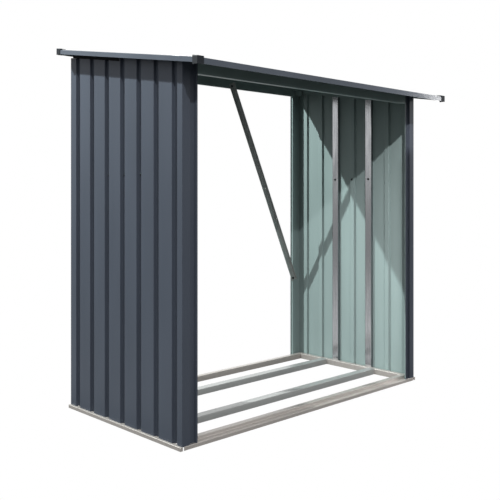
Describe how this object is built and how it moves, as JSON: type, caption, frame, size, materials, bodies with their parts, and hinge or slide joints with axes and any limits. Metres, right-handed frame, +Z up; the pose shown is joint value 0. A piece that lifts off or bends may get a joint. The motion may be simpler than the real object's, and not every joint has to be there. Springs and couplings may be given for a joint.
{
  "type": "log store",
  "caption": "Freestanding sheet-metal log store with ribbed side walls, two open long sides, a single-pitch roof, a floor frame and diagonal rear braces",
  "frame": {"origin": "on the ground, under the middle of the roof outline", "axes": "X along the store, +Y toward the high eave at the back, low eave and front opening toward -Y, +Z up"},
  "size_m": [1.734, 1.047, 1.717],
  "materials": {
    "anthracite_paint": "satin anthracite coating outside, pale sage backing coat inside",
    "galvanised_steel": "dull galvanised, fine spangle",
    "cap_plastic": "matt dark grey"
  },
  "bodies": {
    "root": {"base_rail_front": "galvanised_steel", "base_rail_left": "galvanised_steel", "base_rail_rear": "galvanised_steel", "base_rail_right": "galvanised_steel", "floor_joist_front": "galvanised_steel", "floor_joist_rear": "galvanised_steel", "front_beam": "anthracite_paint", "front_fascia": "anthracite_paint", "left_barge_trim": "anthracite_paint", "left_brace": "galvanised_steel", "left_cap_front": "cap_plastic", "left_cap_rear": "cap_plastic", "left_panel_front": "anthracite_paint", "left_panel_rear": "anthracite_paint", "left_stud_front": "galvanised_steel", "left_stud_rear": "galvanised_steel", "left_top_plate": "anthracite_paint", "rear_beam": "anthracite_paint", "rear_fascia": "anthracite_paint", "right_barge_trim": "anthracite_paint", "right_brace": "galvanised_steel", "right_cap_front": "cap_plastic", "right_cap_rear": "cap_plastic", "right_panel_front": "anthracite_paint", "right_panel_rear": "anthracite_paint", "right_stud_front": "galvanised_steel", "right_stud_rear": "galvanised_steel", "right_top_plate": "anthracite_paint", "roof_sheet_1": "anthracite_paint", "roof_sheet_2": "anthracite_paint", "roof_sheet_3": "anthracite_paint", "roof_sheet_4": "anthracite_paint"}
  },
  "joints": []
}
